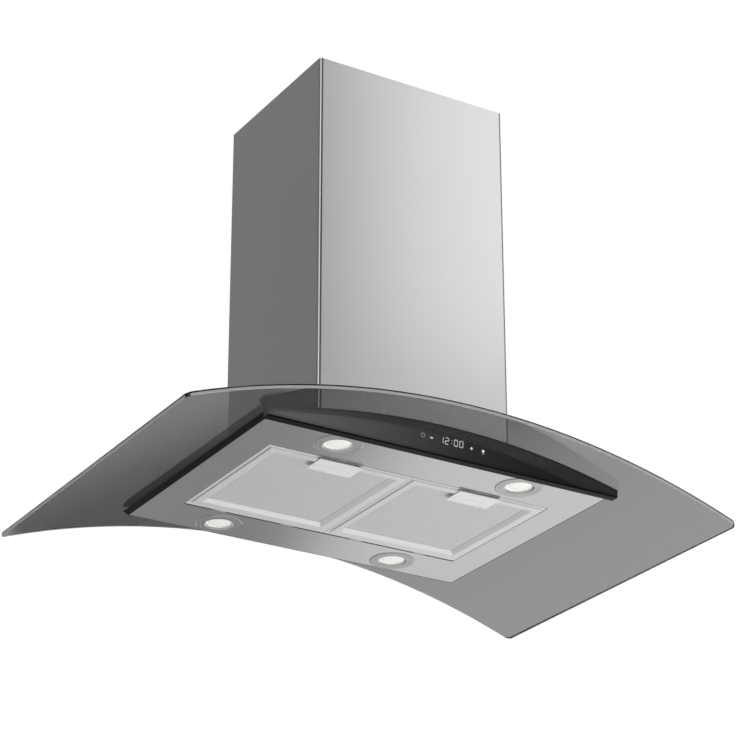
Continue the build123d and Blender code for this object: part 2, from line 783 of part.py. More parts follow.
# Outlet collar: the duct slips over it, and two free flaps keep the draught out
collar_bore = collar_radius - collar_wall
z_flap = z_box_top + flap_level
pin_z = z_flap + flap_sheet / 2
with BuildPart() as outlet_collar:
    with BuildSketch(Plane.XY.offset(z_box_top)):
        Circle(collar_radius + collar_flange)
        Circle(collar_bore, mode=Mode.SUBTRACT)
    extrude(amount=collar_flange_sheet)
    with BuildSketch(Plane.XY.offset(z_box_top)):
        Circle(collar_radius)
        Circle(collar_bore, mode=Mode.SUBTRACT)
    extrude(amount=collar_height)
    with BuildSketch(Plane.XY.offset(z_flap - flap_seat_gap)):
        Circle(collar_radius - collar_wall / 2)
        Circle(collar_bore - flap_ledge, mode=Mode.SUBTRACT)
    extrude(amount=-flap_ledge_sheet)
    with BuildSketch(Plane.XY.offset(pin_z - pin_boss_height / 2)):
        with GridLocations(0, 2 * collar_bore - pin_boss_depth, 1, 2):
            Rectangle(pin_boss_width, pin_boss_depth + collar_wall / 2)
    extrude(amount=pin_boss_height)
    with BuildSketch(Plane.XZ):
        with Locations((0, pin_z)):
            Circle(flap_pin_radius + flap_pin_clearance)
    extrude(amount=collar_bore - pin_end_gap + flap_seat_gap, both=True, mode=Mode.SUBTRACT)
save(outlet_collar, "outlet_collar")

with BuildPart() as flap_pin:
    with BuildSketch(Plane.XZ):
        with Locations((0, pin_z)):
            Circle(flap_pin_radius)
    extrude(amount=collar_bore - pin_end_gap, both=True)
save(flap_pin, "flap_pin")

for name, side in sides.items():
    knuckle_places = [side * knuckle_pitch / 2, -side * 3 * knuckle_pitch / 2]
    with BuildPart() as flap:
        with BuildSketch(Plane.XY.offset(z_flap)):
            Circle(collar_bore - flap_rim_gap)
            with Locations((side * (flap_inner_edge - collar_radius), 0)):
                Rectangle(2 * collar_radius, 2 * collar_radius, mode=Mode.SUBTRACT)
            for y in knuckle_places:
                with Locations((side * flap_inner_edge / 2, y)):
                    Rectangle(flap_inner_edge + flap_sheet, knuckle_length)
        extrude(amount=flap_sheet)
        for y in knuckle_places:
            knuckle_plane = Plane(origin=(0, y, pin_z), x_dir=(1, 0, 0), z_dir=(0, 1, 0))
            with BuildSketch(knuckle_plane):
                Circle(knuckle_radius)
            extrude(amount=knuckle_length / 2, both=True)
            with BuildSketch(knuckle_plane):
                Circle(flap_pin_radius + flap_pin_clearance)
            extrude(amount=knuckle_length, both=True, mode=Mode.SUBTRACT)
    save(flap, f"flap_{name}")

# Front control panel: its top follows the glass and its face leans forward
z_panel = z_plate - panel_below + lip_height
r_panel = glass_radius - panel_top_gap
lean = radians(panel_lean)
face_plane = Plane(
    origin=(0, -body_depth / 2 - panel_base_depth, z_panel),
    x_dir=(1, 0, 0),
    z_dir=(0, -cos(lean), -sin(lean)),
)


def fascia_outline(inset):
    """Outline on the leaning face, inside the bezel: level below, arched with the glass above."""
    edge = bezel + inset
    half = panel_width / 2 - edge
    top_end = (arch(half, r_panel) - z_panel) / cos(lean) - edge
    top_middle = (arch(0, r_panel) - z_panel) / cos(lean) - edge
    with BuildSketch(face_plane) as outline:
        with BuildLine():
            Polyline((-half, top_end), (-half, edge), (half, edge), (half, top_end))
            ThreePointArc((half, top_end), (0, top_middle), (-half, top_end))
        make_face()
    return outline.sketch


with BuildPart() as panel_housing:
    extrude(arch_block(panel_width, z_panel, r_panel, panel_back), amount=2 * panel_base_depth)
    split(bisect_by=face_plane, keep=Keep.BOTTOM)
    cavity_width = panel_width - 2 * panel_wall
    cavity = arch_block(cavity_width, z_panel + panel_wall, r_panel - panel_wall, panel_back)
    extrude(cavity, amount=panel_cavity, mode=Mode.SUBTRACT)
    extrude(fascia_outline(0), amount=-fascia_thickness, mode=Mode.SUBTRACT)
    with BuildSketch(face_plane.offset(-fascia_thickness)):
        with Locations((0, display_level)):
            Rectangle(display_width + 2 * seat_gap, display_height + 2 * seat_gap)
    extrude(amount=-panel_base_depth, mode=Mode.SUBTRACT)
save(panel_housing, "panel_housing")

with BuildPart() as panel_fascia:
    extrude(fascia_outline(fascia_gap), amount=-fascia_thickness)
save(panel_fascia, "panel_fascia")

with BuildPart() as display_module:
    with BuildSketch(face_plane.offset(-fascia_thickness)):
        with Locations((0, display_level)):
            Rectangle(display_width, display_height)
    extrude(amount=-display_thickness)
save(display_module, "display_module")

with BuildPart() as touch_board:
    with BuildSketch(panel_back.offset(panel_cavity)):
        with Locations((0, z_panel + display_level)):
            Rectangle(board_width, board_height)
    extrude(amount=-board_thickness)
save(touch_board, "touch_board")

with BuildPart() as panel_lip:
    with BuildSketch(panel_back):
        with Locations((0, z_panel - lip_height / 2)):
            Rectangle(panel_width, lip_height)
    extrude(amount=panel_base_depth)
    chamfer(panel_lip.edges().filter_by(Axis.X).group_by(Axis.Z)[0].sort_by(Axis.Y)[0], lip_chamfer)
save(panel_lip, "panel_lip")

# Lamps: a turned bezel with its closed housing, and a frosted lens behind the cone
for corner, side in corners.items():
    lamp_x = side[0] * lamp_pitch_x / 2
    lamp_y = side[1] * lamp_pitch_y / 2
    bore = lamp_body_radius - lamp_wall
    with BuildPart() as lamp_bezel:
        with BuildSketch(Plane(origin=(lamp_x, lamp_y, z_plate), x_dir=(1, 0, 0), z_dir=(0, -1, 0))):
            with BuildLine():
                Polyline(
                    (lens_view_radius, lens_recess - lens_ledge),
                    (cone_mouth_radius, -lamp_flange_lip),
                    (ring_radius - ring_width / 2, -lamp_flange_lip),
                    (ring_radius, ring_depth - lamp_flange_lip),
                    (ring_radius + ring_width / 2, -lamp_flange_lip),
                    (lamp_flange_radius - lamp_flange_edge, -lamp_flange_lip),
                    (lamp_flange_radius, -lamp_flange_lip / 2),
                    (lamp_flange_radius, 0),
                    (lamp_body_radius, 0),
                    (lamp_body_radius, lamp_body_height),
                    (0, lamp_body_height),
                    (0, lamp_body_height - lamp_top),
                    (bore, lamp_body_height - lamp_top),
                    (bore, lens_recess),
                    (lens_view_radius, lens_recess),
                    close=True,
                )
            make_face()
        revolve(axis=Axis((lamp_x, lamp_y, z_plate), (0, 0, 1)))
    save(lamp_bezel, f"lamp_bezel_{corner}")

    with BuildPart() as lamp_lens:
        with BuildSketch(Plane(origin=(lamp_x, lamp_y, z_plate + lens_recess))):
            Circle(bore - lens_gap)
        extrude(amount=lens_thickness)
    save(lamp_lens, f"lamp_lens_{corner}")

# Grease filters: a folded frame round a mesh pack, hung on two rear tabs, with a thumb latch in front.
# The frame's lower skin steps down to a bead and slopes up again to the pack, which is a folded layer
# between two flat ones.
filter_width = (opening_width - 3 * filter_side_gap) / 2
filter_depth = opening_depth - 2 * filter_end_gap
filter_front = -filter_depth / 2
bead_span_x = filter_width - 2 * filter_flange
bead_span_y = filter_depth - filter_flange - filter_rear_flange
bead_y = (filter_flange - filter_rear_flange) / 2
dish_span_x = bead_span_x - 2 * bead_width
dish_span_y = bead_span_y - 2 * bead_width
slope_sheet = filter_sheet * sqrt(dish_slope**2 + dish_rise**2) / dish_rise
z_filter = z_plate + filter_recess
z_bead = z_filter - bead_drop
z_mesh = z_bead + dish_rise + mesh_gap
z_tab = z_plate + plate_sheet + latch_gap
z_tongue = z_filter + filter_sheet + latch_gap
neck_front = filter_front + filter_flange + filter_sheet + latch_gap
neck_rear = neck_front + neck_depth
notch_rear = neck_rear + latch_travel + latch_notch_gap
handle_top = z_bead - latch_gap
handle_rear = filter_front + handle_depth
for name, side in sides.items():
    filter_x = side * (filter_width + filter_side_gap) / 2
    middle = Plane(origin=(filter_x, 0, z_filter))
    dish = Plane(origin=(filter_x, bead_y, z_bead))
    with BuildPart() as filter_frame:
        with BuildSketch(dish):
            Rectangle(bead_span_x, bead_span_y)
        extrude(amount=bead_drop + filter_sheet)
        fillet(filter_frame.faces().sort_by(Axis.Z)[0].edges(), bead_edge)
        with BuildSketch(middle):
            Rectangle(filter_width, filter_depth)
        extrude(amount=filter_height)
        with BuildSketch(middle.offset(filter_sheet)):
            Rectangle(filter_width - 2 * filter_sheet, filter_depth - 2 * filter_sheet)
        extrude(amount=filter_height - 2 * filter_sheet, mode=Mode.SUBTRACT)
        with BuildSketch(dish.offset(filter_sheet)):
            Rectangle(bead_span_x - 2 * filter_sheet, bead_span_y - 2 * filter_sheet)
        extrude(amount=bead_drop, mode=Mode.SUBTRACT)
        for grow, mode in ((slope_sheet, Mode.ADD), (0, Mode.SUBTRACT)):
            with BuildSketch(dish):
                Rectangle(dish_span_x + 2 * grow, dish_span_y + 2 * grow)
            with BuildSketch(dish.offset(dish_rise)):
                Rectangle(dish_span_x - 2 * (dish_slope - grow), dish_span_y - 2 * (dish_slope - grow))
            loft(mode=mode)
        with BuildSketch(middle.offset(filter_height)):
            Rectangle(filter_width - 2 * filter_bar, filter_depth - 2 * filter_bar)
        extrude(amount=-filter_sheet, mode=Mode.SUBTRACT)
        with BuildSketch(Plane(origin=(filter_x, filter_depth / 2, z_tab))):
            with Locations((0, (tab_length - filter_sheet) / 2)):
                with GridLocations(filter_width - 2 * tab_inset, 0, 2, 1):
                    Rectangle(tab_width, tab_length + filter_sheet)
        extrude(amount=filter_sheet)
        with BuildSketch(Plane(origin=(filter_x, (neck_front + notch_rear) / 2, z_bead))):
            Rectangle(neck_width + 2 * latch_gap, notch_rear - neck_front + 2 * latch_gap)
        extrude(amount=dish_rise, mode=Mode.SUBTRACT)
        with BuildSketch(Plane(origin=(filter_x, filter_front, z_filter + filter_sheet))):
            Rectangle(tongue_width + 2 * latch_gap, 4 * filter_sheet)
        extrude(amount=tongue_thickness + 2 * latch_gap, mode=Mode.SUBTRACT)
    save(filter_frame, f"filter_frame_{name}")

    with BuildPart() as filter_mesh:
        inset = 2 * (filter_sheet + mesh_gap)
        mesh_width = filter_width - inset
        mesh_depth = filter_depth - inset
        mesh_height = z_filter + filter_height - filter_sheet - mesh_gap - z_mesh
        fold_count = round(mesh_width / mesh_fold)
        fold_x = [mesh_width * (i / (2 * fold_count) - 1 / 2) for i in range(2 * fold_count + 1)]
        fold_z = [mesh_height - mesh_layer if i % 2 else 0 for i in range(2 * fold_count + 1)]
        mesh_end = (filter_x, mesh_depth / 2, z_mesh)
        with BuildSketch(Plane(origin=mesh_end, x_dir=(1, 0, 0), z_dir=(0, -1, 0))):
            with BuildLine():
                lower = list(zip(fold_x, fold_z))
                upper = [(x, z + mesh_layer) for x, z in reversed(lower)]
                Polyline(lower + upper, close=True)
            make_face()
            for level in (mesh_layer / 2, mesh_height - mesh_layer / 2):
                with Locations((0, level)):
                    Rectangle(mesh_width, mesh_layer)
        extrude(amount=mesh_depth)
        with BuildSketch(middle):
            with Locations((0, (filter_front + notch_rear) / 2)):
                notch_width = tongue_width + 2 * latch_notch_gap
                Rectangle(notch_width, notch_rear - filter_front)
        extrude(amount=filter_height, mode=Mode.SUBTRACT)
    save(filter_mesh, f"filter_mesh_{name}")

    with BuildPart() as filter_latch:
        with BuildSketch(Plane(origin=(filter_x, filter_front + handle_depth / 2, handle_top))):
            Rectangle(handle_width, handle_depth)
        extrude(amount=-handle_sheet)
        fillet(filter_latch.edges().filter_by(Axis.Z).group_by(Axis.Y)[-1], handle_corner)
        with BuildSketch(Plane(origin=(filter_x, 0, 0), x_dir=(0, 1, 0), z_dir=(1, 0, 0))):
            for step in range(grip_count):
                with Locations((handle_rear - grip_inset - step * grip_pitch, handle_top - handle_sheet)):
                    Circle(grip_radius)
        extrude(amount=handle_width / 2 - grip_margin, both=True)
        with BuildSketch(Plane(origin=(filter_x, (neck_front + neck_rear) / 2, handle_top))):
            Rectangle(neck_width, neck_depth)
        extrude(amount=z_tongue - handle_top)
        tongue_front = -opening_depth / 2 + latch_gap
        with BuildSketch(Plane(origin=(filter_x, (tongue_front + neck_rear) / 2, z_tongue))):
            Rectangle(tongue_width, neck_rear - tongue_front)
        extrude(amount=tongue_thickness)
    save(filter_latch, f"filter_latch_{name}")

# Electrical pieces, standing on the blower chamber beside the collar
with BuildPart() as control_box:
    with BuildSketch(Plane(origin=(service_offset, 0, z_box_top))):
        RectangleRounded(control_box_width, control_box_depth, control_box_corner)
    extrude(amount=control_box_height)
    fillet(control_box.faces().sort_by(Axis.Z)[-1].edges(), control_box_corner / 2)
save(control_box, "control_box")

with BuildPart() as capacitor:
    with BuildSketch(Plane(origin=(-service_offset, -service_pitch / 2, z_box_top))):
        Circle(capacitor_radius)
    extrude(amount=capacitor_length)
    chamfer(capacitor.faces().sort_by(Axis.Z)[-1].edges(), capacitor_edge)
save(capacitor, "capacitor")

with BuildPart() as cable_gland:
    with BuildSketch(Plane(origin=(-service_offset, service_pitch / 2, z_box_top))):
        RegularPolygon(gland_radius, 6)
    extrude(amount=gland_height / 2)
    with BuildSketch(Plane(origin=(-service_offset, service_pitch / 2, z_box_top))):
        Circle(gland_neck_radius)
    extrude(amount=gland_height)
    with BuildSketch(Plane(origin=(-service_offset, service_pitch / 2, z_box_top))):
        Circle(gland_bore)
    extrude(amount=gland_height, mode=Mode.SUBTRACT)
save(cable_gland, "cable_gland")

# Cover screws: one on each side ties channel, rear panel and tray or clamp frame together
for name, planes in cover_screw_planes.items():
    with BuildPart() as cover_screws:
        for face in planes:
            with BuildSketch(face):
                Circle(cover_head_radius)
            extrude(amount=cover_head_height)
            with BuildSketch(face):
                Circle(cover_screw_radius)
            extrude(amount=-cover_screw_length)
    save(cover_screws, f"{name}_cover_screws")
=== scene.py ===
import json
from math import cos, pi, radians, sin

import bpy
import numpy as np
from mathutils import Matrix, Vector


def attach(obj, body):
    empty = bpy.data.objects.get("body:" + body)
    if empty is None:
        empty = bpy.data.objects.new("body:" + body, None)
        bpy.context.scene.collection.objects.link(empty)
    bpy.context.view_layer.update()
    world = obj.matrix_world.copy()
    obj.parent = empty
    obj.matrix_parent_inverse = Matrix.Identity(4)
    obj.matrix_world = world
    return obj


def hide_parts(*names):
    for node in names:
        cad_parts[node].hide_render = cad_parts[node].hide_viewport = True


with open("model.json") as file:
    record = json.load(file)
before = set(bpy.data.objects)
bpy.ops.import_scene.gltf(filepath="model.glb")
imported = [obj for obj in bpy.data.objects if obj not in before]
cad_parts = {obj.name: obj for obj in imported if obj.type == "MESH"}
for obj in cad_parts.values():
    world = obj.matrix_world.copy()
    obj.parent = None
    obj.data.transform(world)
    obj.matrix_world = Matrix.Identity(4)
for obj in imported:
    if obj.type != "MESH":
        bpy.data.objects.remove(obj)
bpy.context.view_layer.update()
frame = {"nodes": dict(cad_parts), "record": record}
nodes = frame["nodes"]


def span(node):
    """Lowest and highest corner of a CAD node, in millimetres from the middle of the ceiling plate."""
    places = np.empty(3 * len(nodes[node].data.vertices), np.float32)
    nodes[node].data.vertices.foreach_get("co", places)
    places = np.round(1000 * places.reshape(-1, 3).astype(float), 4)
    return places.min(0), places.max(0)


# Sizes and places that the solids give; a lens is faceted, so its centre and radius are rounded
glass_low, glass_high = span("glass_canopy")
GLASS_WIDTH, GLASS_DEPTH, _ = glass_high - glass_low
lens_low, lens_high = span("lamp_lens_rear_right")
LAMP_X, LAMP_Y, _ = np.round((lens_low + lens_high) / 2, 1)
LENS_RADIUS = round((lens_high - lens_low)[1] / 2, 1)
LENS_LEVEL, LENS_TOP = lens_low[2], lens_high[2]
mesh_low, mesh_high = span("filter_mesh_right")
MESH_X, MESH_LEVEL = (mesh_low + mesh_high)[0] / 2, mesh_low[2]
lip_low, lip_high = span("panel_lip")
PANEL_FRONT, PANEL_FOOT = lip_low[1], lip_high[2]

# The filter frame's window, the glass's bend and polished arris, and the control panel's lean
WINDOW_Y, WINDOW_WIDTH, WINDOW_DEPTH = -3.5, 186.0, 201.2
ARCH_CENTRE, ARRIS_RADIUS = -1863.0, 1263.5
PANEL_LEAN = radians(7.3)


# Nodes and objects

def linear(code):
    """sRGB hex code to linear colour: each channel goes through the sRGB curve."""
    srgb = np.array([int(code[i : i + 2], 16) for i in (1, 3, 5)]) / 255
    return (*np.where(srgb <= 0.04045, srgb / 12.92, ((srgb + 0.055) / 1.055) ** 2.4), 1.0)


def add(tree, kind, inputs=None, **settings):
    """Add one shader node: settings are its own fields, inputs are values or the sockets to link."""
    made = tree.nodes.new("ShaderNode" + kind)
    for name, value in settings.items():
        setattr(made, name, value)
    for name, value in (inputs or {}).items():
        if isinstance(value, bpy.types.NodeSocket):
            tree.links.new(value, made.inputs[name])
        else:
            made.inputs[name].default_value = value
    return made


def emptied(holder):
    """The node tree of a new material or world, without the nodes it comes with."""
    holder.use_nodes = True
    holder.node_tree.nodes.clear()
    return holder.node_tree


def into_scene(name, data):
    """A new object for a mesh, a lamp or a camera, at the origin of the scene."""
    made = bpy.data.objects.new(name, data)
    bpy.context.scene.collection.objects.link(made)
    return made


# Finishes

def finish(name, **inputs):
    """A material with one Principled shader; inputs use the socket names with _ for a space."""
    made = bpy.data.materials.new(name)
    tree = emptied(made)
    skin = add(tree, "BsdfPrincipled", {k.replace("_", " "): v for k, v in inputs.items()})
    add(tree, "OutputMaterial", {"Surface": skin.outputs[0]})
    return made, tree, skin


def wire(skin, **sources):
    """Link outputs of nodes to the shader's sockets, whose names have _ for a space."""
    for name, source in sources.items():
        skin.id_data.links.new(source, skin.inputs[name.replace("_", " ")])


def brushed_steel(name, light, dark, grain, roughness, metallic=1.0):
    """Stainless or aluminium sheet, belt brushed: satin metal with fine streaks along the belt.

    grain is the streak's size along X, Y and Z in millimetres; streaks are drawn about twice as wide
    as real ones so that they show. A slow cloud 300 mm wide gives the rolled sheet's uneven tone. Less
    metallic stands for an anodised skin, which scatters light."""
    cloud_width, gloss_spread = 300.0, 0.01
    made, tree, skin = finish(name, Metallic=metallic)
    place = add(tree, "TexCoord").outputs["Object"]
    belt = add(tree, "Mapping", {"Vector": place, "Scale": [1000 / g for g in grain]})
    streak = add(tree, "TexNoise", {"Vector": belt.outputs[0], "Scale": 1.0, "Detail": 4.0, "Roughness": 0.6})
    cloud = add(tree, "TexNoise", {"Vector": place, "Scale": 1000 / cloud_width, "Detail": 2.0})
    both = add(tree, "Math", {0: streak.outputs["Fac"], 1: cloud.outputs["Fac"]}, operation="ADD")
    share = add(tree, "MapRange", {"Value": both.outputs[0], "From Min": 0.7, "From Max": 1.3})
    tone = add(tree, "Mix", {0: share.outputs[0], 6: linear(dark), 7: linear(light)}, data_type="RGBA")
    gloss = add(tree, "MapRange", {"Value": streak.outputs["Fac"], "From Min": 0.3, "From Max": 0.7,
                                   "To Min": roughness - gloss_spread, "To Max": roughness + gloss_spread})
    relief = add(tree, "Bump", {"Height": streak.outputs["Fac"], "Strength": 0.015, "Distance": 0.0002})
    wire(skin, Base_Color=tone.outputs[2], Roughness=gloss.outputs[0], Normal=relief.outputs[0])
    return made


def dull_metal(name, light, dark, spangle, roughness, metallic=1.0):
    """Zinc-coated steel or raw aluminium: dull metal whose crystals or strands differ a little in tone.

    spangle is the crystal's size in millimetres; less metallic stands for a sheet that scatters light."""
    gloss_spread = 0.08
    made, tree, skin = finish(name, Metallic=metallic)
    place = add(tree, "TexCoord").outputs["Object"]
    crystal = add(tree, "TexVoronoi", {"Vector": place, "Scale": 1000 / spangle})
    shade = add(tree, "SeparateColor", {"Color": crystal.outputs["Color"]})
    tone = add(tree, "Mix", {0: shade.outputs[0], 6: linear(dark), 7: linear(light)}, data_type="RGBA")
    gloss = add(tree, "MapRange", {"Value": shade.outputs[1], "To Min": roughness - gloss_spread,
                                   "To Max": roughness + gloss_spread})
    wire(skin, Base_Color=tone.outputs[2], Roughness=gloss.outputs[0])
    return made


def moulded(name, light, dark, grit, relief_depth, roughness, **inputs):
    """Moulded plastic, rubber or powder coat: one colour with a fine even grain.

    grit is the grain's size and relief_depth its height, in millimetres; inputs are the shader's own."""
    cloud_width, gloss_spread = 60 * grit, 0.05
    made, tree, skin = finish(name, **{"IOR": 1.53, **inputs})
    place = add(tree, "TexCoord").outputs["Object"]
    grain = add(tree, "TexNoise", {"Vector": place, "Scale": 1000 / grit, "Detail": 2.0})
    cloud = add(tree, "TexNoise", {"Vector": place, "Scale": 1000 / cloud_width, "Detail": 3.0})
    tone = add(tree, "Mix", {0: cloud.outputs["Fac"], 6: linear(dark), 7: linear(light)}, data_type="RGBA")
    gloss = add(tree, "MapRange", {"Value": cloud.outputs["Fac"], "To Min": roughness - gloss_spread,
                                   "To Max": roughness + gloss_spread})
    relief = add(tree, "Bump", {"Height": grain.outputs["Fac"], "Strength": 0.3,
                                "Distance": relief_depth / 1000})
    wire(skin, Base_Color=tone.outputs[2], Roughness=gloss.outputs[0], Normal=relief.outputs[0])
    return made


def smoked_glass(tint, ground):
    """Grey-tinted float glass, tempered: polished, with roller waves, and paler where its edges are ground.

    An edge is where |x| or |y| comes within rim of the sheet's half width or half depth. It is ground up to
    ARRIS_RADIUS from the bend's axis and polished above, so that a pale band lies under a dark line."""
    rim, roller_wave, ground_roughness, ground_clearness = 1.0, 180.0, 0.5, 0.4
    made, tree, skin = finish("smoked_tempered_glass", IOR=1.5)
    place = add(tree, "TexCoord").outputs["Object"]
    reach = add(tree, "VectorMath", {0: place}, operation="ABSOLUTE")
    inner = ((GLASS_WIDTH / 2 - rim) / 1000, (GLASS_DEPTH / 2 - rim) / 1000, 0.0)
    beyond = add(tree, "VectorMath", {0: reach.outputs[0], 1: inner}, operation="SUBTRACT")
    axes = add(tree, "SeparateXYZ", {0: beyond.outputs[0]})
    most = add(tree, "Math", {0: axes.outputs[0], 1: axes.outputs[1]}, operation="MAXIMUM")
    edge = add(tree, "Math", {0: most.outputs[0], 1: 0.0}, operation="GREATER_THAN")
    section = add(tree, "VectorMath", {0: place, 1: (1.0, 0.0, 1.0), 2: (0.0, 0.0, -ARCH_CENTRE / 1000)},
                  operation="MULTIPLY_ADD")
    radius = add(tree, "VectorMath", {0: section.outputs[0]}, operation="LENGTH")
    under = add(tree, "Math", {0: radius.outputs["Value"], 1: ARRIS_RADIUS / 1000}, operation="LESS_THAN")
    frosted = add(tree, "Math", {0: edge.outputs[0], 1: under.outputs[0]}, operation="MULTIPLY")
    tone = add(tree, "Mix", {0: frosted.outputs[0], 6: linear(tint), 7: linear(ground)}, data_type="RGBA")
    gloss = add(tree, "Math", {0: frosted.outputs[0], 1: ground_roughness}, operation="MULTIPLY")
    clear = add(tree, "MapRange", {"Value": frosted.outputs[0], "To Min": 1.0, "To Max": ground_clearness})
    roller = add(tree, "TexNoise", {"Vector": place, "Scale": 1000 / roller_wave, "Detail": 1.0})
    relief = add(tree, "Bump", {"Height": roller.outputs["Fac"], "Strength": 0.05, "Distance": 0.001})
    wire(skin, Base_Color=tone.outputs[2], Roughness=gloss.outputs[0], Transmission_Weight=clear.outputs[0],
         Normal=relief.outputs[0])
    return made


def turned_metal(name, light, dark, pitch, roughness):
    """Lathe-turned die casting: satin metal with rings about each lamp's own centre, pitch millimetres apart.

    The four lamps lie symmetrically, so the rings are worked out from |x| and |y| less the lamp's place. They
    are drawn coarser than a tool's feed so that they show. A wave texture runs 20 radians in a unit."""
    made, tree, skin = finish(name, Metallic=1.0, Roughness=roughness)
    place = add(tree, "TexCoord").outputs["Object"]
    quarter = add(tree, "VectorMath", {0: place}, operation="ABSOLUTE")
    lamp = (LAMP_X / 1000, LAMP_Y / 1000, 0.0)
    centred = add(tree, "VectorMath", {0: quarter.outputs[0], 1: lamp}, operation="SUBTRACT")
    flat = add(tree, "VectorMath", {0: centred.outputs[0], 1: (1.0, 1.0, 0.0)}, operation="MULTIPLY")
    rings = add(tree, "TexWave", {"Vector": flat.outputs[0], "Scale": 1000 / pitch * 2 * pi / 20,
                                  "Distortion": 1.5, "Detail": 2.0, "Detail Scale": 4.0},
                wave_type="RINGS", rings_direction="SPHERICAL")
    tone = add(tree, "Mix", {0: rings.outputs["Fac"], 6: linear(dark), 7: linear(light)}, data_type="RGBA")
    relief = add(tree, "Bump", {"Height": rings.outputs["Fac"], "Strength": 0.1, "Distance": 0.0002})
    wire(skin, Base_Color=tone.outputs[2], Normal=relief.outputs[0])
    return made


def glowing(name, colour, strength, roughness):
    """A lit mark or diffuser: milky acrylic with light behind it and a frost of 0.8 mm grains."""
    frost_size = 0.8
    made, tree, skin = finish(name, Base_Color=linear(colour), Roughness=roughness, IOR=1.49,
                              Emission_Color=linear(colour), Emission_Strength=strength)
    place = add(tree, "TexCoord").outputs["Object"]
    frost = add(tree, "TexNoise", {"Vector": place, "Scale": 1000 / frost_size})
    relief = add(tree, "Bump", {"Height": frost.outputs["Fac"], "Strength": 0.1, "Distance": 0.0001})
    wire(skin, Normal=relief.outputs[0])
    return made


finishes = {
    "stainless": brushed_steel("brushed_stainless_upright", "#e0e1e1", "#dcdddd", (1.2, 1.2, 160), 0.26),
    "plate": brushed_steel("brushed_stainless_plate", "#dedfdf", "#dadbdb", (160, 1.2, 1.2), 0.2),
    "smoked_glass": smoked_glass("#adadad", "#bcbebe"),
    "gasket_rubber": moulded("black_rubber", "#161616", "#0e0e0e", 1.0, 0.05, 0.7, IOR=1.52),
    "black_steel": moulded("black_powder_coat", "#070708", "#040405", 1.2, 0.05, 0.5,
                           Specular_IOR_Level=0.15),
    "galvanised": dull_metal("galvanised_sheet", "#b9bec1", "#8f9598", 9.0, 0.42),
    "zinc_screws": dull_metal("zinc_plated_steel", "#c6c8c4", "#a3a5a2", 3.0, 0.35),
    "blower_plastic": moulded("grey_polypropylene", "#3c3d3f", "#303133", 0.8, 0.05, 0.5, IOR=1.49),
    "wheel_plastic": moulded("black_nylon_wheel", "#26272a", "#1b1c1e", 0.8, 0.05, 0.45),
    "motor_paint": moulded("grey_baked_enamel", "#60636a", "#505359", 1.5, 0.05, 0.35),
    "bright_steel": brushed_steel("ground_steel", "#d4d4d4", "#b8b8b8", (0.4, 6, 6), 0.22),
    "carbon_black": moulded("satin_black_ABS", "#1b1b1b", "#0f0f0f", 0.9, 0.05, 0.42),
    "panel_black": moulded("gloss_black_ABS", "#0c0c0c", "#080808", 2.0, 0.01, 0.18),
    "panel_fascia": moulded("dark_grey_glass_fascia", "#121213", "#0f0f10", 3.0, 0.005, 0.1,
                            Specular_IOR_Level=0.3, Coat_Weight=0.6, Coat_Roughness=0.05),
    "panel_lip": moulded("satin_black_extrusion", "#080808", "#050505", 0.9, 0.02, 0.35,
                         Specular_IOR_Level=0.08),
    "display": moulded("display_window", "#101114", "#0b0c0f", 2.0, 0.005, 0.1),
    "circuit_board": moulded("green_solder_mask", "#1f6b3c", "#17542e", 1.0, 0.03, 0.35),
    "lamp_metal": turned_metal("satin_turned_casting", "#dcdcdb", "#cdcdcc", 5.0, 0.3),
    "lamp_lens": glowing("frosted_acrylic", "#e6e6e3", 0.04, 0.4),
    "filter_frame": brushed_steel("satin_aluminium_frame", "#d9dbda", "#d1d3d2", (80, 80, 1.0), 0.38, 0.35),
    "filter_mesh": dull_metal("expanded_aluminium", "#cacccb", "#c4c6c5", 2.5, 0.55, 0.4),
    "latch_plastic": moulded("silver_grey_ABS", "#d6d8d7", "#cecfcf", 0.9, 0.03, 0.35),
    "box_plastic": moulded("white_polycarbonate", "#dcdcd6", "#d2d2cc", 1.0, 0.03, 0.4, IOR=1.58),
    "capacitor_can": brushed_steel("drawn_aluminium_can", "#cfd1d3", "#b9bbbd", (0.8, 0.8, 40), 0.35),
    "gland_plastic": moulded("black_nylon", "#1e1e1e", "#151515", 0.8, 0.04, 0.5),
    "figures": glowing("lit_segments", "#c0c4c5", 0.2, 0.5),
    "symbols": glowing("lit_symbols", "#dfe2e2", 0.3, 0.5),
    "dim_symbols": glowing("dim_symbols", "#8c8e8f", 0.3, 0.5),
}
for part in frame["record"]["subparts"]:
    surface = "plate" if part["node"] == "bottom_plate" else part["material_slot"]
    for place in nodes[part["node"]].material_slots:
        place.material = finishes[surface]


# New pieces: surfaces worked out as arrays, in millimetres, then put into a mesh in metres

def piece(name, points, faces, surface, slot, body, smooth=True):
    """Put points (millimetres) and faces into a mesh at the origin, with its finish and body; slot is not
    used.
    """
    mesh = bpy.data.meshes.new(name)
    mesh.from_pydata((np.asarray(points).reshape(-1, 3) / 1000).tolist(), [], faces)
    mesh.polygons.foreach_set("use_smooth", np.full(len(mesh.polygons), smooth))
    mesh.materials.append(finishes[surface])
    mesh.update()
    made = into_scene(name, mesh)
    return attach(made, body)


def grid_faces(rows, columns, wrap=False):
    """Quads of a grid of points stored row by row; wrap joins the last column to the first."""
    r, c = np.meshgrid(np.arange(rows - 1), np.arange(columns - (0 if wrap else 1)), indexing="ij")
    after = (c + 1) % columns
    here, beyond = r * columns, (r + 1) * columns
    return np.stack([here + c, here + after, beyond + after, beyond + c], -1).reshape(-1, 4).tolist()


